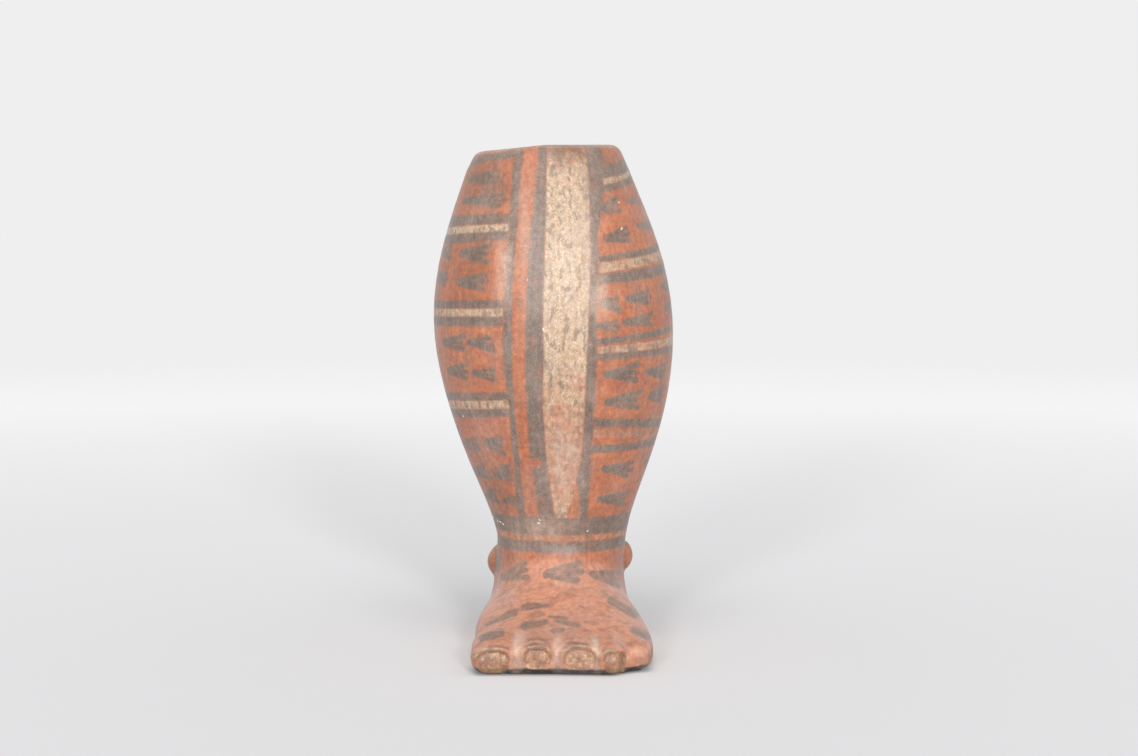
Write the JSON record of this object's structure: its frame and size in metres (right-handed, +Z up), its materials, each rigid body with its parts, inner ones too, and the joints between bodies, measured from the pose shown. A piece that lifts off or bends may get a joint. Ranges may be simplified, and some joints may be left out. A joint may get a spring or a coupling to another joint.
{
  "type": "foot-shaped vessel",
  "caption": "Hollow clay vessel in the shape of a lower leg and a bare left foot, with applied toes and ankle knobs, a swelling calf and an open mouth on top.",
  "frame": {"origin": "on the floor under the middle of the part", "axes": "+Z up, toes towards -Y, great toe towards -X"},
  "size_m": [0.1122, 0.1558, 0.2325],
  "materials": {
    "red_slip_clay": "burnished red slip with dark and cream slip painting",
    "bare_clay": "bare fired clay"
  },
  "bodies": {
    "root": {"sole_slab": "bare_clay", "foot_upper": "red_slip_clay", "great_toe": "red_slip_clay", "second_toe": "red_slip_clay", "third_toe": "red_slip_clay", "fourth_toe": "red_slip_clay", "little_toe": "red_slip_clay", "inner_ankle_knob": "red_slip_clay", "outer_ankle_knob": "red_slip_clay", "ankle_course": "red_slip_clay", "shin_course": "red_slip_clay", "calf_course": "red_slip_clay", "shoulder_course": "red_slip_clay", "mouth_rim": "red_slip_clay"}
  },
  "joints": []
}
